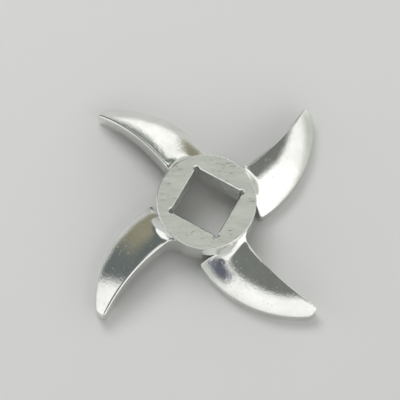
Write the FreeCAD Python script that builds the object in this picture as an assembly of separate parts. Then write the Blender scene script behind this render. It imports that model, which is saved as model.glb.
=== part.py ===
import FreeCAD, Part
import math
import os
from FreeCAD import Vector

# Four-armed knife for a meat grinder, cast in stainless steel and ground on its cutting side.
# Millimetres and degrees. Z is the axis of the bore, and the four cutting lands lie on Z = 0.
# The flats of the bore face X and Y. The knife is seen from +Z, the side of the worm, and there it
# turns clockwise, so the convex edge of each arm leads and the concave edge trails.
# Bearings on an arm are counted anticlockwise from the root of its trailing edge.

NODE = "grinder_knife"
ARM_COUNT = 4
ARM_BEARING = -13.5         # from +X to the root of the first arm's trailing edge

# Hub
HUB_RADIUS = 12.4
HUB_TOP = 12.0              # ground back face, above the cutting plane
FRONT_LEVEL = 3.2           # front face of the hub and underside of the arms
HUB_BEVEL = 0.3

# Square bore with drilled corners
BORE_FLATS = 13.2
BORE_BEVEL = 0.2
DRILL_RADIUS = 0.8
DRILL_INSET = 0.5           # from the corner of the square to the centre of its drilling

# Outline of an arm
TIP_RADIUS = 37.5
LEAD_RADIUS = 29.0
LEAD_TIP_BEARING = -3.6
TRAIL_RADIUS = 53.0
TRAIL_TIP_BEARING = 0.75
TRAIL_ROOT_FILLET = 2.7
TRAIL_CORNER = 0.9
LEAD_CORNER = 2.0
HEEL_GAP = 1.3              # between the hub and the heel, the inner end of the leading edge
HEEL_BEARING = -54.5
HEEL_CORNER = 0.7
HEEL_ROOT_BEARING = -36.5   # where the wall behind the heel runs into the hub

# Crowned back of an arm
LEAD_HEIGHT = 3.55          # of the leading wall
CREST_INSET = 10.0          # from the leading edge to the crest
CREST_HEIGHT = 9.5
CROWN_RADIUS = 19.7
EDGE_BREAK = 0.4            # width of the bevel along the trailing top edge of an arm
FLARE_WIDTH = 1.3           # the flare into the hub falls to a quarter over this width
FLARE_TOP_GAP = 0.8         # from the top of the flare to the back face
FLARE_BLEND = 18.0          # bearing over which the flare grows from the heel's root

# Cutting land, which follows the leading edge
LAND_WIDTH = 4.2
LAND_BACK_SLOPE = 30.0      # of its back, from upright

# Construction: how far one body reaches into or past another, and the sections of the crown
ROOT_DEPTH = 2.5
INNER_RUN = 1.2
PAST = 2.0
SECTIONS = 20
SECTION_POINTS = 15
EVEN_SHARE = 0.35           # of the sections' spacing; the rest packs them towards the hub
ROOT_MARGIN_REACH = 8.0     # from the hub to where the wider margin beside the root fillet ends
SAME_RADIUS = 1e-6

AXIS = Vector(0, 0, 1)
ORIGIN = Vector(0, 0, 0)


def polar(radius, bearing, height=0.0):
    angle = math.radians(bearing)
    return Vector(radius * math.cos(angle), radius * math.sin(angle), height)


def bearing_of(point):
    return math.degrees(math.atan2(point.y, point.x))


def toward(centre, point, distance):
    return centre + (point - centre).normalize() * distance


def smooth_step(share):
    share = min(max(share, 0.0), 1.0)
    return share * share * (3.0 - 2.0 * share)


def arc_centre(start, end, radius):
    """Centre, on the left of the chord, of the arc that joins two points."""
    chord = end - start
    left = Vector(-chord.y, chord.x, 0).normalize()
    return (start + end) * 0.5 + left * math.sqrt(radius ** 2 - chord.Length ** 2 / 4)


def circles_meet(centre_a, radius_a, centre_b, radius_b, near):
    """The point nearer to a given one where two circles cross."""
    line = centre_b - centre_a
    gap = line.Length
    along = (radius_a ** 2 - radius_b ** 2 + gap ** 2) / (2 * gap)
    across = math.sqrt(radius_a ** 2 - along ** 2)
    unit = line * (1 / gap)
    side = Vector(-unit.y, unit.x, 0)
    foot = centre_a + unit * along
    return min((foot + side * across, foot - side * across), key=lambda p: (p - near).Length)


def arc_edge(centre, radius, start, end):
    """The shorter arc between two points of a circle."""
    return Part.Arc(start, toward(centre, (start + end) * 0.5, radius), end).toShape()


# Places that the outline and the crown share
HEEL = polar(HUB_RADIUS + HEEL_GAP, HEEL_BEARING)
HEEL_ROOT = polar(HUB_RADIUS, HEEL_ROOT_BEARING)
LEAD_TIP = polar(TIP_RADIUS, LEAD_TIP_BEARING)
TRAIL_TIP = polar(TIP_RADIUS, TRAIL_TIP_BEARING)
TRAIL_ROOT = polar(HUB_RADIUS, 0)
LEAD_CENTRE = arc_centre(HEEL, LEAD_TIP, LEAD_RADIUS)
TRAIL_CENTRE = arc_centre(TRAIL_ROOT, TRAIL_TIP, TRAIL_RADIUS)
INNER_WAY = (HEEL_ROOT - HEEL).normalize()
INNER_SIDE = Vector(INNER_WAY.y, -INNER_WAY.x, 0)


def heel_corner():
    """Centre of the heel's corner: inside the leading arc and beside the wall behind the heel."""
    start = HEEL + INNER_SIDE * HEEL_CORNER
    reach = start - LEAD_CENTRE
    half = reach.dot(INNER_WAY)
    rest = reach.dot(reach) - (LEAD_RADIUS - HEEL_CORNER) ** 2
    root = math.sqrt(half ** 2 - rest)
    return start + INNER_WAY * min(-half + root, -half - root, key=abs)


def arm_outline():
    """Closed outline of an arm, seen along the axis, with its root inside the hub."""
    trail_corner = circles_meet(TRAIL_CENTRE, TRAIL_RADIUS + TRAIL_CORNER,
                                ORIGIN, TIP_RADIUS - TRAIL_CORNER, TRAIL_TIP)
    lead_corner = circles_meet(LEAD_CENTRE, LEAD_RADIUS - LEAD_CORNER,
                               ORIGIN, TIP_RADIUS - LEAD_CORNER, LEAD_TIP)
    root_fillet = circles_meet(TRAIL_CENTRE, TRAIL_RADIUS - TRAIL_ROOT_FILLET,
                               ORIGIN, HUB_RADIUS + TRAIL_ROOT_FILLET, TRAIL_ROOT)
    heel = heel_corner()

    inner_end = HEEL_ROOT + INNER_WAY * INNER_RUN
    on_hub = toward(ORIGIN, root_fillet, HUB_RADIUS)
    core_start = polar(HUB_RADIUS - ROOT_DEPTH, HEEL_ROOT_BEARING / 2)
    core_end = polar(HUB_RADIUS - ROOT_DEPTH, bearing_of(on_hub))
    trail_start = toward(TRAIL_CENTRE, root_fillet, TRAIL_RADIUS)
    trail_end = toward(TRAIL_CENTRE, trail_corner, TRAIL_RADIUS)
    rim_start = toward(ORIGIN, trail_corner, TIP_RADIUS)
    rim_end = toward(ORIGIN, lead_corner, TIP_RADIUS)
    lead_start = toward(LEAD_CENTRE, lead_corner, LEAD_RADIUS)
    lead_end = toward(LEAD_CENTRE, heel, LEAD_RADIUS)
    inner_start = heel - INNER_SIDE * HEEL_CORNER

    return Part.Wire([
        Part.makeLine(inner_start, inner_end),
        Part.makeLine(inner_end, core_start),
        Part.makeLine(core_start, core_end),
        Part.makeLine(core_end, on_hub),
        arc_edge(root_fillet, TRAIL_ROOT_FILLET, on_hub, trail_start),
        arc_edge(TRAIL_CENTRE, TRAIL_RADIUS, trail_start, trail_end),
        arc_edge(trail_corner, TRAIL_CORNER, trail_end, rim_start),
        arc_edge(ORIGIN, TIP_RADIUS, rim_start, rim_end),
        arc_edge(lead_corner, LEAD_CORNER, rim_end, lead_start),
        arc_edge(LEAD_CENTRE, LEAD_RADIUS, lead_start, lead_end),
        arc_edge(heel, HEEL_CORNER, lead_end, inner_start),
    ])


def crown_profile():
    """Centre, as inset and height, of the arc from the leading wall's top to the crest."""
    rise = CREST_HEIGHT - LEAD_HEIGHT
    chord = math.hypot(CREST_INSET, rise)
    drop = math.sqrt(CROWN_RADIUS ** 2 - chord ** 2 / 4)
    inset = CREST_INSET / 2 + drop * rise / chord
    height = (LEAD_HEIGHT + CREST_HEIGHT) / 2 - drop * CREST_INSET / chord
    return inset, height


CROWN_INSET, CROWN_LEVEL = crown_profile()


def crown_height(inset):
    """Height of the crown at a distance inward from the leading edge. Outside the edge the arc goes
    on as a parabola, and past the top of the arc it is level."""
    if inset > CROWN_INSET:
        return CROWN_LEVEL + CROWN_RADIUS
    upright = math.sqrt(CROWN_RADIUS ** 2 - CROWN_INSET ** 2)
    if inset < 0:
        slope = CROWN_INSET / upright
        bend = CROWN_RADIUS ** 2 / upright ** 3
        return CROWN_LEVEL + upright + slope * inset - bend * inset ** 2 / 2
    return CROWN_LEVEL + math.sqrt(CROWN_RADIUS ** 2 - (CROWN_INSET - inset) ** 2)


def crown_at(point):
    return crown_height(LEAD_RADIUS - (point - LEAD_CENTRE).Length)


def back_height(point):
    """Height of the back of an arm: the crown and the flare that climbs the hub."""
    at_hub = crown_at(polar(HUB_RADIUS, bearing_of(point)))
    climb = max(0.0, HUB_TOP - FLARE_TOP_GAP - at_hub)
    grown = smooth_step((bearing_of(point) - HEEL_ROOT_BEARING) / FLARE_BLEND)
    from_hub = (point.Length - HUB_RADIUS) / FLARE_WIDTH
    return crown_at(point) + climb * grown * (1 - math.tanh(from_hub))


def edge_bearing(centre, edge_radius, radius):
    """Bearing at which a circle about the axis crosses an edge of the arm."""
    span = centre.Length
    cosine = (radius ** 2 + span ** 2 - edge_radius ** 2) / (2 * radius * span)
    return bearing_of(centre) - math.degrees(math.acos(min(max(cosine, -1.0), 1.0)))


def back_surface():
    """Smooth surface through sections of the back, each at one radius and a little wider than the arm."""
    inner = HUB_RADIUS - ROOT_DEPTH - PAST / 2
    outer = TIP_RADIUS + PAST
    sections = []
    for i in range(SECTIONS + 1):
        share = i / SECTIONS
        radius = inner + (outer - inner) * (EVEN_SHARE * share + (1 - EVEN_SHARE) * share ** 2)
        near = max(radius, HUB_RADIUS)
        margin = math.degrees(PAST / near)
        root_margin = margin * max(0.0, 1 - (near - HUB_RADIUS) / ROOT_MARGIN_REACH)
        start = edge_bearing(LEAD_CENTRE, LEAD_RADIUS, near) - margin
        end = edge_bearing(TRAIL_CENTRE, TRAIL_RADIUS, near) + margin + root_margin
        row = []
        for j in range(SECTION_POINTS + 1):
            point = polar(radius, start + (end - start) * j / SECTION_POINTS)
            row.append(Vector(point.x, point.y, back_height(point)))
        sections.append(row)
    surface = Part.BSplineSurface()
    surface.interpolate(sections)
    return surface.toShape()


def ring(profile):
    """A closed profile of insets from the leading edge and heights, turned about that edge's axis."""
    points = [Vector(LEAD_RADIUS - inset, 0, height) for inset, height in profile]
    face = Part.Face(Part.makePolygon(points + points[:1]))
    solid = face.revolve(ORIGIN, AXIS, 360)
    solid.translate(LEAD_CENTRE)
    return solid


def relief():
    """Hollow under an arm, behind its cutting land."""
    back = LAND_WIDTH + FRONT_LEVEL * math.tan(math.radians(LAND_BACK_SLOPE))
    far = LEAD_RADIUS - PAST
    return ring([(LAND_WIDTH, -PAST), (LAND_WIDTH, 0), (back, FRONT_LEVEL), (far, FRONT_LEVEL),
                 (far, -PAST)])


def trailing_top_edge(arm):
    """The edge where the back meets the trailing wall."""
    def on_trailing_wall(face):
        surface = face.Surface
        return isinstance(surface, Part.Cylinder) and abs(surface.Radius - TRAIL_RADIUS) < SAME_RADIUS
    wall = next(face for face in arm.Faces if on_trailing_wall(face))
    return max(wall.Edges, key=lambda edge: edge.CenterOfMass.z)


def arm():
    body = Part.Face(arm_outline()).extrude(AXIS * (HUB_TOP + PAST))
    under_back = back_surface().extrude(AXIS * (-HUB_TOP - CREST_HEIGHT - CROWN_RADIUS))
    body = body.common(under_back).Solids[0]
    body = body.makeChamfer(EDGE_BREAK, [trailing_top_edge(body)])
    body = body.cut(relief())
    below_bevel = Part.makeCylinder(TIP_RADIUS + PAST, HUB_TOP - HUB_BEVEL)
    return body.common(below_bevel).Solids[0]


def hub():
    low, high = FRONT_LEVEL, HUB_TOP
    inner, outer = HUB_RADIUS - HUB_BEVEL, HUB_RADIUS
    profile = Part.makePolygon([
        Vector(0, 0, low), Vector(inner, 0, low), Vector(outer, 0, low + HUB_BEVEL),
        Vector(outer, 0, high - HUB_BEVEL), Vector(inner, 0, high), Vector(0, 0, high),
        Vector(0, 0, low)])
    return Part.Face(profile).revolve(ORIGIN, AXIS, 360)


def bore_outline(growth, height):
    """Outline of the square with its drilled corners, grown by a given distance."""
    half = BORE_FLATS / 2 + growth
    centre = BORE_FLATS / 2 - DRILL_INSET / math.sqrt(2)
    radius = DRILL_RADIUS + growth
    reach = centre - math.sqrt(radius ** 2 - (half - centre) ** 2)
    middle = centre + radius / math.sqrt(2)
    edges = []
    for quarter in range(4):
        corner = [Vector(half, reach, height), Vector(middle, middle, height), Vector(reach, half, height)]
        following = Vector(-reach, half, height)
        parts = [Part.Arc(*corner).toShape(), Part.makeLine(corner[2], following)]
        edges += [part.rotated(ORIGIN, AXIS, 90 * quarter) for part in parts]
    return Part.Wire(edges)


def bore():
    """The bore as a solid, widened by a bevel at each end."""
    through = Part.Face(bore_outline(0, -PAST)).extrude(AXIS * (HUB_TOP + 2 * PAST))
    back_bevel = Part.makeLoft([bore_outline(0, HUB_TOP - BORE_BEVEL),
                                bore_outline(BORE_BEVEL * 2, HUB_TOP + BORE_BEVEL)], True, True)
    front_bevel = Part.makeLoft([bore_outline(BORE_BEVEL * 2, FRONT_LEVEL - BORE_BEVEL),
                                 bore_outline(0, FRONT_LEVEL + BORE_BEVEL)], True, True)
    return through.fuse([back_bevel, front_bevel])


def knife():
    first = arm().rotated(ORIGIN, AXIS, ARM_BEARING)
    arms = [first.rotated(ORIGIN, AXIS, 360 / ARM_COUNT * i) for i in range(ARM_COUNT)]
    body = hub().fuse(arms).cut(bore())
    return body.removeSplitter()


os.makedirs("parts", exist_ok=True)
result = knife()
print(NODE, "valid", result.isValid(), "solids", len(result.Solids), "volume", round(result.Volume, 1))
result.Solids[0].exportStep("parts/" + NODE + ".step")
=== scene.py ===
import math

import bmesh
import bpy
from bpy.props import FloatProperty, FloatVectorProperty, IntProperty, PointerProperty
from bpy.types import Operator, Panel, PropertyGroup
from mathutils import Matrix, Vector


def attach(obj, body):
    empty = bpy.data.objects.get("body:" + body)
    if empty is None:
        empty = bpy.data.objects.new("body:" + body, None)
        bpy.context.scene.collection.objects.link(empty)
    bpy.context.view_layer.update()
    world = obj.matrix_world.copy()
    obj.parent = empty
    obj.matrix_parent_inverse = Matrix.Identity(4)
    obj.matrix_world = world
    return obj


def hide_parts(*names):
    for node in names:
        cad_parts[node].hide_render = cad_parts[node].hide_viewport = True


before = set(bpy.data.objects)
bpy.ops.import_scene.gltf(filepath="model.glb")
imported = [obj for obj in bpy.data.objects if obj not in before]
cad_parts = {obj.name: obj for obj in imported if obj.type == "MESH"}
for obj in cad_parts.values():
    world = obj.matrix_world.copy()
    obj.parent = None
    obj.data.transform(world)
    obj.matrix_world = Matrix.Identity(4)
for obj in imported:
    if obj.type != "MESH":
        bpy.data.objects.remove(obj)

bl_info = {
    "name": "Meat Grinder Knife",
    "version": (1, 0, 0),
    "blender": (4, 5, 0),
    "location": "3D View > Sidebar > Knife",
    "description": "Models a four-armed grinder knife in polished stainless steel and its studio",
    "category": "Add Mesh",
}

NODE = "grinder_knife"
BODY = "root"
PIECE = "grinder_knife_polished"
MM = 0.001
MICRON = 0.000001

WELD = 0.0001 * MM             # points nearer than this are one point
CASTING_WELD = 0.002 * MM      # the same after hub and arms are joined
SHORTEST_EDGE = 0.001 * MM
OVERSHOOT = 2 * MM             # how far a cutting body reaches past what it cuts
SLOPE_STEP = 0.02 * MM         # to each side of a point when the back's slope is taken there
SLOPE_LIMITS = (math.radians(-50), math.radians(75))
ROUNDING_STEPS = 6             # mesh steps round an arm's top edge
RIM_STEPS = 4                  # mesh steps round a rim of the hub
DRILL_STEPS = 18               # mesh steps round a drilled corner
SHARP = math.radians(32)       # edges that bend more than this are shaded as sharp
LEVEL = 0.99                   # a face whose normal rises more than this is level
NEAR_LEVEL = 0.05 * MM         # a face within this of a plane counts as in it


def length(name, text, value):
    return FloatProperty(name=name, description=text, default=value, min=0, subtype="DISTANCE", unit="LENGTH")


def angle(name, text, degrees):
    return FloatProperty(name=name, description=text, default=math.radians(degrees), subtype="ANGLE", unit="ROTATION")


def colour(name, text, value):
    return FloatVectorProperty(name=name, description=text, default=value, size=3, min=0, max=1, subtype="COLOR")


class KnifeShape(PropertyGroup):
    """Sizes of the knife and steps of its mesh"""

    arm_bearing: angle("Arm bearing", "From +X to the root of the first arm's trailing edge", -13.5)
    hub_radius: length("Hub radius", "Outer radius of the hub", 12.4 * MM)
    hub_top: length("Hub top", "Height of the hub's ground face above the cutting plane", 12.0 * MM)
    front_level: length("Front level", "Height of the hub's front face and the arms' undersides", 3.2 * MM)
    hub_rounding: length("Hub rounding", "Rounding of the hub's two rims", 0.3 * MM)
    bore_flats: length("Bore flats", "Width of the square bore", 13.2 * MM)
    bore_bevel: length("Bore bevel", "Bevel of the bore's rims", 0.2 * MM)
    drill_radius: length("Drill radius", "Radius of the drilled corners", 0.65 * MM)
    drill_inset: length("Drill inset", "From the square's corner to the centre of its drilling", 0.4 * MM)
    tip_radius: length("Tip radius", "Radius of the circle that cuts the tips", 37.5 * MM)
    lead_radius: length("Leading radius", "Radius of the convex leading edge", 29.0 * MM)
    lead_tip_bearing: angle("Leading tip bearing", "Where the leading edge meets the tip circle", -3.6)
    trail_radius: length("Trailing radius", "Radius of the concave trailing edge", 53.0 * MM)
    trail_tip_bearing: angle("Trailing tip bearing", "Where the trailing edge meets the tip circle", 0.75)
    trail_root_fillet: length("Root fillet", "Fillet between the trailing edge and the hub", 2.7 * MM)
    trail_corner: length("Trailing corner", "Corner radius at the tip's trailing side", 0.9 * MM)
    lead_corner: length("Leading corner", "Corner radius at the tip's leading side", 2.0 * MM)
    heel_gap: length("Heel gap", "From the hub to the heel", 1.3 * MM)
    heel_bearing: angle("Heel bearing", "Bearing of the heel", -54.5)
    heel_corner: length("Heel corner", "Corner radius of the heel", 0.7 * MM)
    heel_root_bearing: angle("Heel root bearing", "Where the wall behind the heel meets the hub", -36.5)
    lead_height: length("Leading height", "Height of the leading wall", 3.55 * MM)
    crest_inset: length("Crest inset", "From the leading edge to the crest", 10.0 * MM)
    crest_height: length("Crest height", "Height of the crest", 9.5 * MM)
    crown_radius: length("Crown radius", "Radius of the crown across an arm", 26.0 * MM)
    edge_rounding: length("Edge rounding", "Rounding of the arms' top edges", 0.5 * MM)
    flare_width: length("Flare width", "Width over which the flare falls to a quarter", 1.3 * MM)
    flare_top_gap: length("Flare top gap", "From the flare's top to the hub's face", 0.8 * MM)
    flare_blend: angle("Flare blend", "Bearing over which the flare grows from the heel's root", 18.0)
    land_width: length("Land width", "Width of the cutting land", 4.2 * MM)
    land_back_slope: angle("Land back slope", "Slope of the land's back from upright", 30.0)
    root_depth: length("Root depth", "How deep an arm's root lies in the hub", 2.2 * MM)
    steps_along: IntProperty(name="Steps along", description="Mesh steps along an arm", default=132, min=24)
    steps_across: IntProperty(name="Steps across", description="Mesh steps across an arm", default=38, min=12)
    steps_round: IntProperty(name="Steps round", description="Mesh steps round the hub", default=240, min=48)


class KnifeFinish(PropertyGroup):
    """Colours and finish of the steel"""

    polished: colour("Polished steel", "Colour of the polished arms", (0.86, 0.865, 0.845))
    dulled: colour("Dulled steel", "Colour where the polish is a little dull", (0.77, 0.775, 0.75))
    ground: colour("Ground steel", "Colour of the hub's ground face", (0.74, 0.755, 0.715))
    ground_deep: colour("Ground steel in its lines", "Colour in the grinding lines", (0.6, 0.615, 0.575))
    scratched: colour("Scratches", "Colour of the short scratches on the ground face", (0.13, 0.135, 0.12))
    cast: colour("Cast steel", "Colour of the underside", (0.5, 0.505, 0.49))
    # Painted shade: a darker steel colour laid in the hollows of the cast skin's bumps, standing in for the shade
    # there.
    cast_hollow_shade: colour("Cast steel in its hollows", "Colour of the hollows in the cast skin", (0.36, 0.365, 0.35))
    grind_turn: angle("Grinding direction", "Direction of the grinding lines from +X", -60.5)
    grind_spacing: length("Grinding spacing", "Mean distance between grinding lines", 0.14 * MM)
    peel_size: length("Peel size", "Size of the fine waves left by polishing", 0.7 * MM)
    grain_size: length("Grain size", "Size of the grain seen in the polish", 0.3 * MM)
    pit_spacing: length("Pit spacing", "Mean distance between the casting's pits", 0.8 * MM)
    skin_size: length("Cast skin size", "Size of the bumps of the cast skin", 0.5 * MM)


class StudioSettings(PropertyGroup):
    """Camera, floor and light"""

    lens: FloatProperty(name="Lens", description="Focal length on a 36 mm sensor, in millimetres", default=195.48,
                        min=20)
    tilt: angle("Tilt", "Tilt of the camera from straight down", 18.61)
    lean: angle("Lean", "Lean of the camera to one side", -0.74)
    turn: angle("Turn", "Turn of the picture about the bore", 60.49)
    distance: length("Distance", "From the camera to the bore along the view", 547.71 * MM)
    shift_right: length("Shift right", "From the bore to the middle of the picture", 1.46 * MM)
    shift_down: length("Shift down", "From the middle of the picture to the bore", 4.12 * MM)
    floor_size: length("Floor size", "Width of the floor", 4.0)
    floor_paper: colour("Floor paper", "Colour of the floor", (0.72, 0.72, 0.715))
    lamp_power: FloatProperty(name="Lamp power", description="Power of the soft lamp", default=3.0, min=0)
    lamp_size: length("Lamp size", "Width of the soft lamp", 0.5)
    lamp_distance: length("Lamp distance", "From the knife to the soft lamp", 0.9)
    lamp_azimuth: angle("Lamp azimuth", "Where the soft lamp stands, in the picture, from its right", 118)
    lamp_elevation: angle("Lamp elevation", "Height of the soft lamp above the floor", 55)
    room: colour("Room", "Colour of the room's ceiling, as the steel mirrors it", (0.2, 0.212, 0.2))


def polar(radius, bearing):
    """The point at a radius and a bearing."""
    return Vector((radius * math.cos(bearing), radius * math.sin(bearing)))


def bearing_of(point):
    return math.atan2(point.y, point.x)


def towards(centre, point, distance):
    """The point at a distance from a centre, on the line to another point."""
    return centre + (point - centre).normalized() * distance


def smooth_step(share):
    share = min(max(share, 0.0), 1.0)
    return share * share * (3.0 - 2.0 * share)


def arc_centre(start, end, radius):
    """Centre, on the left of the chord, of the arc that joins two points."""
    chord = end - start
    left = Vector((-chord.y, chord.x)).normalized()
    return (start + end) / 2 + left * math.sqrt(radius ** 2 - chord.length_squared / 4)


def circles_meet(centre_a, radius_a, centre_b, radius_b, near):
    """The point nearer to a given one where two circles cross."""
    line = centre_b - centre_a
    gap = line.length
    along = (radius_a ** 2 - radius_b ** 2 + gap ** 2) / (2 * gap)
    across = math.sqrt(radius_a ** 2 - along ** 2)
    unit = line / gap
    side = Vector((-unit.y, unit.x))
    foot = centre_a + unit * along
    return min((foot + side * across, foot - side * across), key=lambda p: (p - near).length)


class Line:
    """A straight run of an outline."""

    def __init__(self, start, end):
        self.start, self.end = start, end
        self.length = (end - start).length

    def at(self, share):
        way = (self.end - self.start).normalized()
        return self.start.lerp(self.end, share), Vector((way.y, -way.x))


class Arc:
    """The shorter arc between two points of a circle. Its outward side is on the right of the way along it."""

    def __init__(self, centre, start, end):
        self.centre = centre
        self.radius = (start - centre).length
        self.first = bearing_of(start - centre)
        turn = bearing_of(end - centre) - self.first
        self.turn = (turn + math.pi) % (2 * math.pi) - math.pi
        self.length = abs(self.turn) * self.radius

    def at(self, share):
        out = polar(1, self.first + self.turn * share)
        side = out if self.turn > 0 else -out
        return self.centre + out * self.radius, side


class Run:
    """Several lines and arcs, joined end to end."""

    def __init__(self, *parts):
        self.parts = parts
        self.length = sum(part.length for part in parts)

    def at(self, share):
        left = share * self.length
        for part in self.parts[:-1]:
            if left <= part.length:
                return part.at(left / part.length)
            left -= part.length
        last = self.parts[-1]
        return last.at(min(left / last.length, 1.0))


class ArmForm:
    """Outline and back of an arm whose trailing root lies on +X."""

    def __init__(self, s):
        self.s = s
        self.heel = polar(s.hub_radius + s.heel_gap, s.heel_bearing)
        self.heel_root = polar(s.hub_radius, s.heel_root_bearing)
        self.lead_tip = polar(s.tip_radius, s.lead_tip_bearing)
        self.trail_tip = polar(s.tip_radius, s.trail_tip_bearing)
        self.trail_root = polar(s.hub_radius, 0)
        self.lead_centre = arc_centre(self.heel, self.lead_tip, s.lead_radius)
        self.trail_centre = arc_centre(self.trail_root, self.trail_tip, s.trail_radius)
        self.inner_way = (self.heel_root - self.heel).normalized()
        self.inner_side = Vector((self.inner_way.y, -self.inner_way.x))
        rise = s.crest_height - s.lead_height
        chord = math.hypot(s.crest_inset, rise)
        drop = math.sqrt(s.crown_radius ** 2 - chord ** 2 / 4)
        self.crown_inset = s.crest_inset / 2 + drop * rise / chord
        self.crown_level = (s.lead_height + s.crest_height) / 2 - drop * s.crest_inset / chord

    def heel_centre(self):
        """Centre of the heel's corner: inside the leading arc and beside the wall behind the heel."""
        s = self.s
        start = self.heel + self.inner_side * s.heel_corner
        reach = start - self.lead_centre
        half = reach.dot(self.inner_way)
        rest = reach.length_squared - (s.lead_radius - s.heel_corner) ** 2
        root = math.sqrt(half ** 2 - rest)
        return start + self.inner_way * min(-half + root, -half - root, key=abs)

    def sides(self):
        """The outline as four runs, anticlockwise: leading edge, tip, trailing edge, root and heel."""
        s = self.s
        origin = Vector((0, 0))
        trail_corner = circles_meet(self.trail_centre, s.trail_radius + s.trail_corner,
                                    origin, s.tip_radius - s.trail_corner, self.trail_tip)
        lead_corner = circles_meet(self.lead_centre, s.lead_radius - s.lead_corner,
                                   origin, s.tip_radius - s.lead_corner, self.lead_tip)
        fillet = circles_meet(self.trail_centre, s.trail_radius - s.trail_root_fillet,
                              origin, s.hub_radius + s.trail_root_fillet, self.trail_root)
        heel = self.heel_centre()
        on_hub = towards(origin, fillet, s.hub_radius)
        core_radius = s.hub_radius - s.root_depth
        core_end = polar(core_radius, bearing_of(on_hub) - math.radians(2))
        core_start = polar(core_radius, s.heel_root_bearing * 0.8)
        trail_start = towards(self.trail_centre, fillet, s.trail_radius)
        trail_end = towards(self.trail_centre, trail_corner, s.trail_radius)
        rim_start = towards(origin, trail_corner, s.tip_radius)
        rim_end = towards(origin, lead_corner, s.tip_radius)
        lead_start = towards(self.lead_centre, lead_corner, s.lead_radius)
        lead_end = towards(self.lead_centre, heel, s.lead_radius)
        inner_start = heel - self.inner_side * s.heel_corner
        lead_mid = towards(lead_corner, (rim_end + lead_start) / 2, s.lead_corner)
        trail_mid = towards(trail_corner, (rim_start + trail_end) / 2, s.trail_corner)
        heel_mid = towards(heel, (lead_end + inner_start) / 2, s.heel_corner)
        lead = Run(Arc(heel, heel_mid, lead_end), Arc(self.lead_centre, lead_end, lead_start),
                   Arc(lead_corner, lead_start, lead_mid))
        tip = Run(Arc(lead_corner, lead_mid, rim_end), Arc(origin, rim_end, rim_start),
                  Arc(trail_corner, rim_start, trail_mid))
        trail = Run(Arc(trail_corner, trail_mid, trail_end), Arc(self.trail_centre, trail_end, trail_start),
                    Arc(fillet, trail_start, on_hub), Line(on_hub, core_end), Line(core_end, core_start))
        root = Run(Line(core_start, self.heel_root), Line(self.heel_root, inner_start),
                   Arc(heel, inner_start, heel_mid))
        return lead, tip, trail, root

    def crown_height(self, inset):
        """Height of the crown at a distance inward of the leading edge. Outside the edge it falls on straight."""
        s = self.s
        if inset > self.crown_inset:
            return self.crown_level + s.crown_radius
        upright = math.sqrt(s.crown_radius ** 2 - self.crown_inset ** 2)
        if inset < 0:
            return self.crown_level + upright + self.crown_inset / upright * inset
        return self.crown_level + math.sqrt(s.crown_radius ** 2 - (self.crown_inset - inset) ** 2)

    def crown_at(self, point):
        return self.crown_height(self.s.lead_radius - (point - self.lead_centre).length)

    def back_height(self, point):
        """Height of the back: the crown and the flare that climbs the hub."""
        s = self.s
        at_hub = self.crown_at(polar(s.hub_radius, bearing_of(point)))
        climb = max(0.0, s.hub_top - s.flare_top_gap - at_hub)
        grown = smooth_step((bearing_of(point) - s.heel_root_bearing) / s.flare_blend)
        from_hub = (point.length - s.hub_radius) / s.flare_width
        height = self.crown_at(point) + climb * grown * (1 - math.tanh(from_hub))
        return min(height, s.hub_top - 2 * s.hub_rounding)

    def slope(self, point, outward):
        """Angle by which the back falls towards the outline."""
        step = outward * SLOPE_STEP
        fall = self.back_height(point - step) - self.back_height(point + step)
        return math.atan2(fall, 2 * SLOPE_STEP)


def new_object(name, mesh_builder):
    """An object whose mesh comes from a bmesh."""
    mesh = bpy.data.meshes.new(name)
    mesh_builder.to_mesh(mesh)
    mesh_builder.free()
    obj = bpy.data.objects.new(name, mesh)
    bpy.context.scene.collection.objects.link(obj)
    return obj


def combine(target, other, operation):
    """Applies a boolean with another object, which is then removed."""
    modifier = target.modifiers.new("Combine", "BOOLEAN")
    modifier.operation = operation
    modifier.solver = "MANIFOLD"
    modifier.object = other
    bpy.context.view_layer.update()
    evaluated = target.evaluated_get(bpy.context.evaluated_depsgraph_get())
    mesh = bpy.data.meshes.new_from_object(evaluated)
    target.modifiers.clear()
    old = target.data
    target.data = mesh
    mesh.name = old.name
    bpy.data.meshes.remove(old)
    bpy.data.objects.remove(other)
    if not mesh.polygons:
        raise RuntimeError(f"the {operation.lower()} left nothing of {target.name}")


def loop_of(form):
    """Outline points with their outward sides, once round the arm."""
    counts = (form.s.steps_along, form.s.steps_across) * 2
    return [run.at(i / count) for run, count in zip(form.sides(), counts) for i in range(count)]


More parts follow.
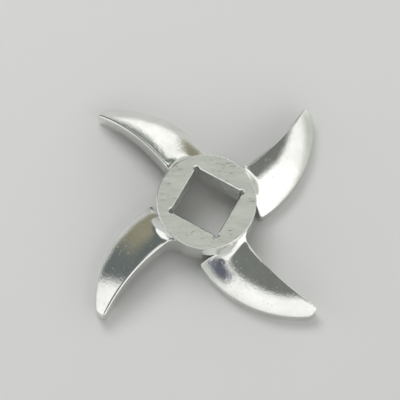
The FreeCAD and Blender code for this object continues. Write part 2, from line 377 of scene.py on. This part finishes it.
def arm_mesh(form):
    """One arm as a closed body that stands on the cutting plane, with its back and rounded top edges."""
    s = form.s
    along, across = s.steps_along, s.steps_across
    outline = loop_of(form)
    inner = []
    slopes = []
    roundings = []
    for index, (point, side) in enumerate(outline):
        rounding = s.edge_rounding
        if index >= 2 * along + across:
            # Behind the heel the rounding runs out where the wall comes up to the hub.
            rounding *= max(0.05, smooth_step((point.length - s.hub_radius) / s.heel_gap))
        slope = form.slope(point - side * rounding * 0.6, side)
        slope = min(max(slope, SLOPE_LIMITS[0]), SLOPE_LIMITS[1])
        slopes.append(slope)
        roundings.append(rounding)
        inner.append(point - side * rounding * (1 - math.sin(slope)))

    def side_points(first, count):
        return [inner[(first + i) % len(inner)] for i in range(count + 1)]

    lead = side_points(0, along)
    tip = side_points(along, across)
    trail = side_points(along + across, along)[::-1]
    root = side_points(2 * along + across, across)[::-1]

    bm = bmesh.new()
    bmesh.ops.create_grid(bm, x_segments=along, y_segments=across, size=0.5)
    rows = {}
    for vert in bm.verts:
        i = round((vert.co.x + 0.5) * along)
        j = round((vert.co.y + 0.5) * across)
        rows[i, j] = vert
    for (i, j), vert in rows.items():
        u, v = i / along, j / across
        flat = (lead[i] * (1 - v) + trail[i] * v + root[j] * (1 - u) + tip[j] * u
                - lead[0] * (1 - u) * (1 - v) - lead[-1] * u * (1 - v)
                - trail[0] * (1 - u) * v - trail[-1] * u * v)
        vert.co = (flat.x, flat.y, form.back_height(flat))

    ring = ([rows[i, 0] for i in range(along)] + [rows[along, j] for j in range(across)]
            + [rows[along - i, across] for i in range(along)] + [rows[0, across - j] for j in range(across)])
    tops = [vert.co.z for vert in ring]

    def draw_out(ring, places):
        """Faces from a closed ring of points to new places, which are the ring that follows."""
        edges = [bm.edges.get((a, b)) for a, b in zip(ring, ring[1:] + ring[:1])]
        made = bmesh.ops.extrude_edge_only(bm, edges=edges)
        fresh = {v for v in made["geom"] if isinstance(v, bmesh.types.BMVert)}
        following = []
        for vert in ring:
            following.append(next(e.other_vert(vert) for e in vert.link_edges if e.other_vert(vert) in fresh))
        for vert, place in zip(following, places):
            vert.co = place
        return following

    for k in range(1, ROUNDING_STEPS + 1):
        places = []
        for (point, side), slope, rounding, top in zip(outline, slopes, roundings, tops):
            theta = slope + (math.pi / 2 - slope) * k / ROUNDING_STEPS
            flat = point - side * rounding * (1 - math.sin(theta))
            places.append(Vector((flat.x, flat.y, top + rounding * (math.cos(theta) - math.cos(slope)))))
        ring = draw_out(ring, places)
    ring = draw_out(ring, [Vector((v.co.x, v.co.y, 0)) for v in ring])
    bmesh.ops.edgeloop_fill(bm, edges=[e for e in bm.edges if e.is_boundary])
    bmesh.ops.recalc_face_normals(bm, faces=bm.faces)
    return bm


def relief_mesh(form):
    """The hollow behind the cutting land, turned about the leading edge's centre."""
    s = form.s
    level = s.front_level + 0.01 * MM
    back = s.land_width + level * math.tan(s.land_back_slope)
    far = s.lead_radius - OVERSHOOT
    below = -OVERSHOOT
    profile = [(s.land_width, below), (s.land_width, 0), (back, level), (far, level), (far, below)]
    bm = bmesh.new()
    verts = [bm.verts.new((s.lead_radius - inset, 0, height)) for inset, height in profile]
    edges = [bm.edges.new((a, b)) for a, b in zip(verts, verts[1:] + verts[:1])]
    bmesh.ops.spin(bm, geom=verts + edges, cent=(0, 0, 0), axis=(0, 0, 1), dvec=(0, 0, 0),
                   angle=2 * math.pi, steps=s.steps_round, use_merge=True, use_duplicate=False)
    bmesh.ops.remove_doubles(bm, verts=bm.verts, dist=WELD)
    bmesh.ops.recalc_face_normals(bm, faces=bm.faces)
    bmesh.ops.translate(bm, verts=bm.verts, vec=form.lead_centre.to_3d())
    return bm


def hub_mesh(s):
    """The hub as a turned disc with rounded rims."""
    bm = bmesh.new()
    profile = []
    for centre, first in ((s.front_level + s.hub_rounding, -math.pi / 2), (s.hub_top - s.hub_rounding, 0)):
        for k in range(RIM_STEPS + 1):
            at = first + math.pi / 2 * k / RIM_STEPS
            radius = s.hub_radius - s.hub_rounding * (1 - math.cos(at))
            profile.append((radius, centre + s.hub_rounding * math.sin(at)))
    verts = [bm.verts.new((radius, 0, height)) for radius, height in profile]
    edges = [bm.edges.new(pair) for pair in zip(verts, verts[1:])]
    bmesh.ops.spin(bm, geom=verts + edges, cent=(0, 0, 0), axis=(0, 0, 1), dvec=(0, 0, 0),
                   angle=2 * math.pi, steps=s.steps_round, use_merge=True, use_duplicate=False)
    bmesh.ops.remove_doubles(bm, verts=bm.verts, dist=WELD)
    bmesh.ops.holes_fill(bm, edges=[e for e in bm.edges if e.is_boundary], sides=0)
    bmesh.ops.recalc_face_normals(bm, faces=bm.faces)
    return bm


def bore_mesh(s):
    """The square bore with its drilled corners, as the body that is cut away."""
    half = s.bore_flats / 2
    centre = half - s.drill_inset / math.sqrt(2)
    reach = math.sqrt(s.drill_radius ** 2 - (half - centre) ** 2)
    bm = bmesh.new()
    first = math.atan2(-reach, half - centre)
    turn = math.pi / 2 - 2 * first
    verts = []
    for quarter in range(4):
        turned = Matrix.Rotation(math.pi / 2 * quarter, 3, "Z")
        for k in range(DRILL_STEPS + 1):
            at = first + turn * k / DRILL_STEPS
            place = Vector((centre + s.drill_radius * math.cos(at), centre + s.drill_radius * math.sin(at), -MM))
            verts.append(bm.verts.new(turned @ place))
    face = bm.faces.new(verts)
    made = bmesh.ops.extrude_face_region(bm, geom=[face])
    top = [v for v in made["geom"] if isinstance(v, bmesh.types.BMVert)]
    bmesh.ops.translate(bm, verts=top, vec=(0, 0, s.hub_top + OVERSHOOT))
    bmesh.ops.recalc_face_normals(bm, faces=bm.faces)
    return bm


def bevel_bore(obj, s):
    """Bevels the two rims of the bore."""
    bm = bmesh.new()
    bm.from_mesh(obj.data)
    reach = s.bore_flats / 2 + s.drill_radius
    rims = []
    for edge in bm.edges:
        heights = {round(v.co.z / MM, 3) for v in edge.verts}
        level = heights == {round(s.hub_top / MM, 3)} or heights == {round(s.front_level / MM, 3)}
        near = all(max(abs(v.co.x), abs(v.co.y)) < reach for v in edge.verts)
        if level and near and edge.is_manifold and edge.calc_face_angle() > math.radians(60):
            rims.append(edge)
    if not rims:
        raise RuntimeError("the bore has no rims to bevel")
    bmesh.ops.bevel(bm, geom=rims, offset=s.bore_bevel, offset_type="OFFSET", segments=1, profile=0.5,
                    affect="EDGES", material=-1, clamp_overlap=False)
    bm.to_mesh(obj.data)
    bm.free()


class KNIFE_OT_hub(Operator):
    """Turn the hub and cut its square bore"""

    bl_idname = "knife.add_hub"
    bl_label = "Add the Hub"
    bl_options = {"REGISTER", "UNDO"}

    def execute(self, context):
        s = context.scene.knife_shape
        hub = new_object(PIECE, hub_mesh(s))
        combine(hub, new_object("bore_cut", bore_mesh(s)), "DIFFERENCE")
        bevel_bore(hub, s)
        return {"FINISHED"}


class KNIFE_OT_arms(Operator):
    """Model one arm, hollow its underside behind the land and turn it into four"""

    bl_idname = "knife.add_arms"
    bl_label = "Add the Arms"
    bl_options = {"REGISTER", "UNDO"}

    def execute(self, context):
        s = context.scene.knife_shape
        form = ArmForm(s)
        arm = new_object("arms", arm_mesh(form))
        combine(arm, new_object("relief_cut", relief_mesh(form)), "DIFFERENCE")
        bm = bmesh.new()
        bm.from_mesh(arm.data)
        bmesh.ops.rotate(bm, verts=bm.verts, cent=(0, 0, 0), matrix=Matrix.Rotation(s.arm_bearing, 3, "Z"))
        first = bm.verts[:] + bm.edges[:] + bm.faces[:]
        for quarter in range(1, 4):
            copy = bmesh.ops.duplicate(bm, geom=first)["geom"]
            verts = [v for v in copy if isinstance(v, bmesh.types.BMVert)]
            bmesh.ops.rotate(bm, verts=verts, cent=(0, 0, 0), matrix=Matrix.Rotation(math.pi / 2 * quarter, 3, "Z"))
        bm.to_mesh(arm.data)
        bm.free()
        return {"FINISHED"}


def node_tree(material):
    material.use_nodes = True
    tree = material.node_tree
    tree.nodes.clear()
    return tree


def add(tree, kind, x, y, **values):
    """A node with its settings and constant inputs."""
    node = tree.nodes.new(kind)
    node.location = (x, y)
    for key, value in values.items():
        if key.startswith("in_"):
            name = key[3:].replace("_", " ")
            socket = node.inputs[int(name)] if name.isdigit() else node.inputs[name]
            socket.default_value = value
        else:
            setattr(node, key, value)
    return node


def noise(tree, vector, size, x, y, detail=2.0, rough=0.5):
    """A noise whose waves have about a given size."""
    node = add(tree, "ShaderNodeTexNoise", x, y, in_Scale=1 / size, in_Detail=detail, in_Roughness=rough)
    tree.links.new(vector, node.inputs["Vector"])
    return node.outputs["Fac"]


def spread(tree, value, low, high, bottom, top, x, y):
    """A value taken from one range to another, and held at its ends."""
    node = add(tree, "ShaderNodeMapRange", x, y)
    node.inputs["From Min"].default_value = low
    node.inputs["From Max"].default_value = high
    node.inputs["To Min"].default_value = bottom
    node.inputs["To Max"].default_value = top
    tree.links.new(value, node.inputs["Value"])
    return node.outputs["Result"]


def blend_colours(tree, share, first, second, x, y):
    """Two colours, or sockets that give them, blended by a share."""
    node = add(tree, "ShaderNodeMix", x, y, data_type="RGBA")
    tree.links.new(share, node.inputs["Factor"])
    ends = [socket for socket in node.inputs if socket.type == "RGBA"]
    for socket, value in zip(ends, (first, second)):
        if isinstance(value, bpy.types.NodeSocket):
            tree.links.new(value, socket)
        else:
            socket.default_value = (*value, 1)
    return next(socket for socket in node.outputs if socket.type == "RGBA")


def bumps(tree, layers, x, y):
    """Bumps laid on each other, each a height and its depth in metres."""
    normal = None
    for row, (height, depth) in enumerate(layers):
        node = add(tree, "ShaderNodeBump", x + 160 * row, y, in_Strength=1.0, in_Distance=depth)
        tree.links.new(height, node.inputs["Height"])
        if normal:
            tree.links.new(normal, node.inputs["Normal"])
        normal = node.outputs["Normal"]
    return normal


def steel(name):
    """A new metal material: its tree, its shader and its object coordinates."""
    material = bpy.data.materials.new(name)
    tree = node_tree(material)
    shader = add(tree, "ShaderNodeBsdfPrincipled", 1000, 0, in_Metallic=1.0)
    out = add(tree, "ShaderNodeOutputMaterial", 1300, 0)
    tree.links.new(shader.outputs["BSDF"], out.inputs["Surface"])
    where = add(tree, "ShaderNodeTexCoord", -1400, 0)
    return material, tree, shader, where.outputs["Object"]


def polished_steel(finish):
    """Mirror-like, with the fine waves, grain and small pits of a polished casting."""
    material, tree, shader, where = steel("polished_steel")
    link = tree.links.new
    sweep = noise(tree, where, 7 * finish.peel_size, -1000, 300)
    peel = noise(tree, where, finish.peel_size, -1000, 0, detail=3.0, rough=0.6)
    grain = noise(tree, where, finish.grain_size, -1000, -300, detail=2.0, rough=0.7)
    cells = add(tree, "ShaderNodeTexVoronoi", -1000, -600, in_Scale=1 / finish.pit_spacing)
    link(where, cells.inputs["Vector"])
    bowl = spread(tree, cells.outputs["Distance"], 0.08, 0.2, 0.0, 1.0, -750, -600)
    chosen = add(tree, "ShaderNodeSeparateColor", -750, -800)
    link(cells.outputs["Color"], chosen.inputs["Color"])
    kept = spread(tree, chosen.outputs["Red"], 0.5, 1.0, 1.0, 0.0, -550, -800)
    pits = add(tree, "ShaderNodeMath", -350, -650, operation="MAXIMUM")
    link(bowl, pits.inputs[0])
    link(kept, pits.inputs[1])
    normal = bumps(tree, ((sweep, 30 * MICRON), (peel, 20 * MICRON), (grain, 13 * MICRON),
                          (pits.outputs["Value"], 30 * MICRON)), 0, -400)
    link(normal, shader.inputs["Normal"])
    dull = spread(tree, sweep, 0.35, 0.7, 0.0, 1.0, -600, 300)
    link(blend_colours(tree, dull, finish.polished, finish.dulled, 0, 200), shader.inputs["Base Color"])
    link(spread(tree, grain, 0.3, 0.75, 0.04, 0.12, -600, 0), shader.inputs["Roughness"])
    return material


def ground_steel(finish):
    """Flat and satin, with straight grinding lines and a few short scratches."""
    material, tree, shader, where = steel("ground_steel")
    link = tree.links.new
    along = add(tree, "ShaderNodeMapping", -1200, 0, vector_type="TEXTURE")
    along.inputs["Rotation"].default_value = (0, 0, finish.grind_turn)
    link(where, along.inputs["Vector"])

    def drawn(stretch, size, x, y, detail=2.0):
        """A noise drawn out along the grinding."""
        longer = add(tree, "ShaderNodeMapping", x, y, vector_type="TEXTURE")
        longer.inputs["Scale"].default_value = (stretch, 1, 1)
        link(along.outputs["Vector"], longer.inputs["Vector"])
        return noise(tree, longer.outputs["Vector"], size, x + 200, y, detail, 0.65)

    lines = drawn(30, finish.grind_spacing, -1000, 300, 3.0)
    streaks = drawn(9, 4 * finish.grind_spacing, -1000, 0)
    short = drawn(7, 1.6 * finish.grind_spacing, -1000, -300)
    patches = noise(tree, where, 5 * MM, -800, -600)
    marks = spread(tree, short, 0.64, 0.69, 0.0, 1.0, -550, -300)
    worn = spread(tree, patches, 0.46, 0.56, 0.0, 1.0, -550, -600)
    scratches = add(tree, "ShaderNodeMath", -350, -400, operation="MULTIPLY")
    link(marks, scratches.inputs[0])
    link(worn, scratches.inputs[1])
    lined = spread(tree, lines, 0.4, 0.75, 0.0, 0.75, -550, 300)
    streaked = spread(tree, streaks, 0.45, 0.8, 0.0, 0.5, -550, 0)
    either = add(tree, "ShaderNodeMath", -350, 200, operation="MAXIMUM")
    link(lined, either.inputs[0])
    link(streaked, either.inputs[1])
    tone = blend_colours(tree, either.outputs["Value"], finish.ground, finish.ground_deep, -100, 200)
    tone = blend_colours(tree, scratches.outputs["Value"], tone, finish.scratched, 100, 200)
    link(tone, shader.inputs["Base Color"])
    link(spread(tree, streaks, 0.3, 0.8, 0.36, 0.48, -100, 0), shader.inputs["Roughness"])
    deep = spread(tree, scratches.outputs["Value"], 0.0, 1.0, 1.0, 0.0, -100, -400)
    link(bumps(tree, ((lines, 4 * MICRON), (deep, 10 * MICRON)), 300, -400), shader.inputs["Normal"])
    return material


def land_steel(finish):
    """The cutting lands and the walls of the bore: finely ground and nearly bright."""
    material, tree, shader, where = steel("land_steel")
    link = tree.links.new
    longer = add(tree, "ShaderNodeMapping", -1100, 0, vector_type="TEXTURE")
    longer.inputs["Scale"].default_value = (24, 1, 1)
    link(where, longer.inputs["Vector"])
    lines = noise(tree, longer.outputs["Vector"], finish.grind_spacing, -900, 0, 3.0, 0.65)
    patches = noise(tree, where, 4 * MM, -900, -300)
    lined = spread(tree, lines, 0.35, 0.75, 0.0, 0.6, -600, 0)
    link(blend_colours(tree, lined, finish.polished, finish.ground, -300, 100), shader.inputs["Base Color"])
    link(spread(tree, patches, 0.3, 0.7, 0.22, 0.32, -300, -200), shader.inputs["Roughness"])
    link(bumps(tree, ((lines, 3 * MICRON),), 200, -400), shader.inputs["Normal"])
    return material


def cast_steel(finish):
    """The cast skin of the underside, blasted and a little dull, with painted shade in the hollows of its bumps."""
    material, tree, shader, where = steel("cast_steel")
    link = tree.links.new
    skin = noise(tree, where, finish.skin_size, -1000, 0, detail=4.0, rough=0.65)
    patches = noise(tree, where, 8 * finish.skin_size, -1000, -300, detail=2.0)
    # Painted shade: the colour darkens towards the painted hollow shade where the skin's bump is lowest.
    hollow = spread(tree, skin, 0.35, 0.65, 1.0, 0.0, -700, 0)
    link(blend_colours(tree, hollow, finish.cast, finish.cast_hollow_shade, -400, 100), shader.inputs["Base Color"])
    link(spread(tree, patches, 0.3, 0.7, 0.3, 0.42, -400, -200), shader.inputs["Roughness"])
    link(bumps(tree, ((patches, 40 * MICRON), (skin, 20 * MICRON)), 200, -400), shader.inputs["Normal"])
    return material


FINISHES = (polished_steel, ground_steel, land_steel, cast_steel)
POLISHED, GROUND, LAND, CAST = range(4)


def finish_of(face, s):
    """Which finish a face of the knife has, by where it is and which way it faces."""
    normal, middle = face.normal, face.calc_center_median()
    if normal.z > LEVEL and middle.z > s.hub_top - NEAR_LEVEL:
        return GROUND
    if normal.z < -LEVEL and middle.z < NEAR_LEVEL:
        return LAND
    if max(abs(middle.x), abs(middle.y)) < s.bore_flats / 2 + s.drill_radius and abs(normal.z) < 0.3:
        return LAND
    below = normal.z < -0.3 and middle.z < s.front_level + NEAR_LEVEL
    return CAST if below else POLISHED


class KNIFE_OT_join(Operator):
    """Join hub and arms into one casting, and give its faces their finishes"""

    bl_idname = "knife.join_casting"
    bl_label = "Join and Finish"
    bl_options = {"REGISTER", "UNDO"}

    def execute(self, context):
        s = context.scene.knife_shape
        knife = bpy.data.objects[PIECE]
        combine(knife, bpy.data.objects["arms"], "UNION")
        knife.data.materials.clear()
        for make in FINISHES:
            knife.data.materials.append(make(context.scene.knife_finish))
        bm = bmesh.new()
        bm.from_mesh(knife.data)
        bmesh.ops.remove_doubles(bm, verts=bm.verts, dist=CASTING_WELD)
        bmesh.ops.dissolve_degenerate(bm, edges=bm.edges, dist=SHORTEST_EDGE)
        for face in bm.faces:
            face.smooth = True
            face.material_index = finish_of(face, s)
        for edge in bm.edges:
            edge.smooth = edge.is_manifold and edge.calc_face_angle() < SHARP
        bm.to_mesh(knife.data)
        bm.free()
        weigh = knife.modifiers.new("Weighted Normals", "WEIGHTED_NORMAL")
        weigh.keep_sharp = True
        weigh.weight = 50
        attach(knife, BODY)
        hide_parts(NODE)
        return {"FINISHED"}


class KNIFE_OT_studio(Operator):
    """Set up the floor, the surroundings and the camera"""

    bl_idname = "knife.set_up_studio"
    bl_label = "Set up the Studio"
    bl_options = {"REGISTER", "UNDO"}

    def execute(self, context):
        studio = context.scene.knife_studio
        add_camera(context.scene, studio)
        add_floor(studio)
        add_lamp(context.scene, studio)
        add_surroundings(context.scene, studio)
        context.scene.view_settings.view_transform = "Standard"
        return {"FINISHED"}


def add_camera(scene, studio):
    """The camera: set square to its own axes, then turned about the bore with the picture."""
    tilt, lean = studio.tilt, studio.lean
    right = Vector((math.cos(lean), math.sin(tilt) * math.sin(lean), -math.sin(lean) * math.cos(tilt)))
    up = Vector((0, math.cos(tilt), math.sin(tilt)))
    back = Vector((math.sin(lean), -math.cos(lean) * math.sin(tilt), math.cos(lean) * math.cos(tilt)))
    place = right * -studio.shift_right + up * studio.shift_down + back * studio.distance
    camera = bpy.data.objects.new("camera", bpy.data.cameras.new("camera"))
    camera.data.sensor_width = 36
    camera.data.lens = studio.lens
    camera.data.clip_start = 0.01
    camera.data.clip_end = 20
    turned = Matrix.Rotation(-studio.turn, 4, "Z")
    axes = Matrix((right, up, back)).transposed().to_4x4()
    camera.matrix_world = turned @ Matrix.Translation(place) @ axes
    scene.collection.objects.link(camera)
    scene.camera = camera


def add_floor(studio):
    """A plain pale floor, a hair below the cutting plane."""
    bm = bmesh.new()
    bmesh.ops.create_grid(bm, x_segments=1, y_segments=1, size=studio.floor_size / 2)
    floor = new_object("floor", bm)
    floor.location.z = -0.02 * MM
    material = bpy.data.materials.new("floor_paper")
    tree = node_tree(material)
    out = add(tree, "ShaderNodeOutputMaterial", 600, 0)
    shader = add(tree, "ShaderNodeBsdfPrincipled", 0, 0, in_Roughness=0.9)
    shader.inputs["Base Color"].default_value = (*studio.floor_paper, 1)
    shader.inputs["Specular IOR Level"].default_value = 0.0
    tree.links.new(shader.outputs["BSDF"], out.inputs["Surface"])
    floor.data.materials.append(material)


def add_lamp(scene, studio):
    """One soft lamp, which the steel doesn't mirror."""
    lamp = bpy.data.objects.new("soft_lamp", bpy.data.lights.new("soft_lamp", "AREA"))
    lamp.data.shape = "DISK"
    lamp.data.size = studio.lamp_size
    lamp.data.energy = studio.lamp_power
    lamp.visible_glossy = False
    level = polar(math.cos(studio.lamp_elevation), studio.lamp_azimuth - studio.turn)
    way = Vector((level.x, level.y, math.sin(studio.lamp_elevation)))
    turned = way.to_track_quat("Z", "Y").to_matrix().to_4x4()
    lamp.matrix_world = Matrix.Translation(way * studio.lamp_distance) @ turned
    scene.collection.objects.link(lamp)


# The room round the knife, as its steel mirrors it. Each panel has a colour, its azimuth in the picture
# and half its width, its elevation and half its height, how far it leans in azimuth for each degree
# upward, and the softness of its edges. All but the colour are in degrees.
ROOM_PANELS = (
    ("low_walls", (1.12, 1.12, 1.1), 0, 200, 0, 42, 0, 3),
    ("window_right", (1.3, 1.3, 1.28), -32, 26, 30, 28, 0, 4),
    ("corner_right", (0.2, 0.21, 0.19), 5, 14, 46, 17, -1.8, 2),
    ("window_back", (1.18, 1.18, 1.14), 80, 14, 30, 28, 0, 3),
    ("sill_right", (0.62, 0.65, 0.58), -3, 32, 0, 13, 0, 5),
    ("sill_front", (0.74, 0.76, 0.72), 240, 45, 4, 14, 0, 8),
    ("dark_side", (0.15, 0.168, 0.165), 126, 28, 30, 37, 0, 3),
    ("dark_strip", (0.2, 0.225, 0.2), 87, 8, 20, 28, -0.76, 2),
    ("dark_side_foot", (0.3, 0.285, 0.21), 122, 12, 8, 22, 0, 7),
    ("door_frame", (0.3, 0.29, 0.21), 56, 8, 0, 27, -0.25, 3),
    ("corner_foot", (0.62, 0.64, 0.6), 203, 9, 17, 6, 0, 2),
    ("blue_corner", (0.13, 0.135, 0.175), 208, 10, 30, 8, 0, 1.5),
    ("ceiling_lamp", (1.6, 1.62, 1.52), 90, 45, 76, 9, 0, 3),
)


def add_surroundings(scene, studio):
    """The room as the world."""
    world = bpy.data.worlds.new("surroundings")
    scene.world = world
    world.use_nodes = True
    tree = world.node_tree
    tree.nodes.clear()
    link = tree.links.new
    where = add(tree, "ShaderNodeTexCoord", -1200, 0)
    turned = add(tree, "ShaderNodeMapping", -1000, 0, vector_type="POINT")
    turned.inputs["Rotation"].default_value = (0, 0, studio.turn)
    split = add(tree, "ShaderNodeSeparateXYZ", -800, 0)
    link(where.outputs["Generated"], turned.inputs["Vector"])
    link(turned.outputs["Vector"], split.inputs["Vector"])
    rise = add(tree, "ShaderNodeMath", -600, 200, operation="ARCSINE")
    link(split.outputs["Z"], rise.inputs[0])
    side = add(tree, "ShaderNodeMath", -600, 0, operation="ARCTAN2")
    link(split.outputs["Y"], side.inputs[0])
    link(split.outputs["X"], side.inputs[1])

    def nearness(angle, middle, half, soft, x, y):
        """One near an angle, falling softly to nothing past half a width from it."""
        away = add(tree, "ShaderNodeMath", x, y, operation="SUBTRACT")
        link(angle, away.inputs[0])
        link(middle, away.inputs[1])
        wrapped = add(tree, "ShaderNodeMath", x + 150, y, operation="WRAP", in_1=math.pi, in_2=-math.pi)
        link(away.outputs["Value"], wrapped.inputs[0])
        gap = add(tree, "ShaderNodeMath", x + 300, y, operation="ABSOLUTE")
        link(wrapped.outputs["Value"], gap.inputs[0])
        fall = add(tree, "ShaderNodeMapRange", x + 450, y, interpolation_type="SMOOTHSTEP")
        fall.inputs["From Min"].default_value = math.radians(half - soft)
        fall.inputs["From Max"].default_value = math.radians(half + soft)
        fall.inputs["To Min"].default_value = 1
        fall.inputs["To Max"].default_value = 0
        link(gap.outputs["Value"], fall.inputs["Value"])
        return fall.outputs["Result"]

    light = add(tree, "ShaderNodeRGB", -400, 600)
    light.outputs["Color"].default_value = (*studio.room, 1)
    colour_so_far = light.outputs["Color"]
    for row, (name, tint, azimuth, half_width, elevation, half_height, lean, soft) in enumerate(ROOM_PANELS):
        y = 300 - 500 * row
        leant = add(tree, "ShaderNodeMath", -600, y, operation="MULTIPLY_ADD", in_1=lean)
        leant.inputs[2].default_value = math.radians(azimuth - lean * elevation)
        link(rise.outputs["Value"], leant.inputs[0])
        level = add(tree, "ShaderNodeValue", -600, y - 200)
        level.outputs["Value"].default_value = math.radians(elevation)
        across = nearness(side.outputs["Value"], leant.outputs["Value"], half_width, soft, -400, y)
        upward = nearness(rise.outputs["Value"], level.outputs["Value"], half_height, soft, -400, y - 200)
        both = add(tree, "ShaderNodeMath", 250, y, operation="MULTIPLY")
        link(across, both.inputs[0])
        link(upward, both.inputs[1])
        panel = add(tree, "ShaderNodeMix", 450, y, data_type="RGBA", label=name)
        sockets = [socket for socket in panel.inputs if socket.type == "RGBA"]
        sockets[1].default_value = (*tint, 1)
        link(both.outputs["Value"], panel.inputs["Factor"])
        link(colour_so_far, sockets[0])
        colour_so_far = next(socket for socket in panel.outputs if socket.type == "RGBA")
    background = add(tree, "ShaderNodeBackground", 700, 100, in_Strength=1.0)
    link(colour_so_far, background.inputs["Color"])
    out = add(tree, "ShaderNodeOutputWorld", 900, 100)
    link(background.outputs["Background"], out.inputs["Surface"])


class KNIFE_PT_panel(Panel):
    """The knife's sizes, finishes and steps"""

    bl_idname = "KNIFE_PT_panel"
    bl_label = "Grinder Knife"
    bl_space_type = "VIEW_3D"
    bl_region_type = "UI"
    bl_category = "Knife"

    def draw(self, context):
        layout = self.layout
        for step in STEPS:
            layout.operator(step.bl_idname)
        for group in (context.scene.knife_shape, context.scene.knife_finish, context.scene.knife_studio):
            box = layout.box()
            for name in group.__annotations__:
                box.prop(group, name)


STEPS = (KNIFE_OT_hub, KNIFE_OT_arms, KNIFE_OT_join, KNIFE_OT_studio)
CLASSES = (KnifeShape, KnifeFinish, StudioSettings, *STEPS, KNIFE_PT_panel)


def register():
    for item in CLASSES:
        bpy.utils.register_class(item)
    bpy.types.Scene.knife_shape = PointerProperty(type=KnifeShape)
    bpy.types.Scene.knife_finish = PointerProperty(type=KnifeFinish)
    bpy.types.Scene.knife_studio = PointerProperty(type=StudioSettings)


def unregister():
    del bpy.types.Scene.knife_studio
    del bpy.types.Scene.knife_finish
    del bpy.types.Scene.knife_shape
    for item in reversed(CLASSES):
        bpy.utils.unregister_class(item)


def main():
    register()
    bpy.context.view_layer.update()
    bpy.ops.knife.add_hub()
    bpy.ops.knife.add_arms()
    bpy.ops.knife.join_casting()
    bpy.ops.knife.set_up_studio()


if __name__ == "__main__":
    main()
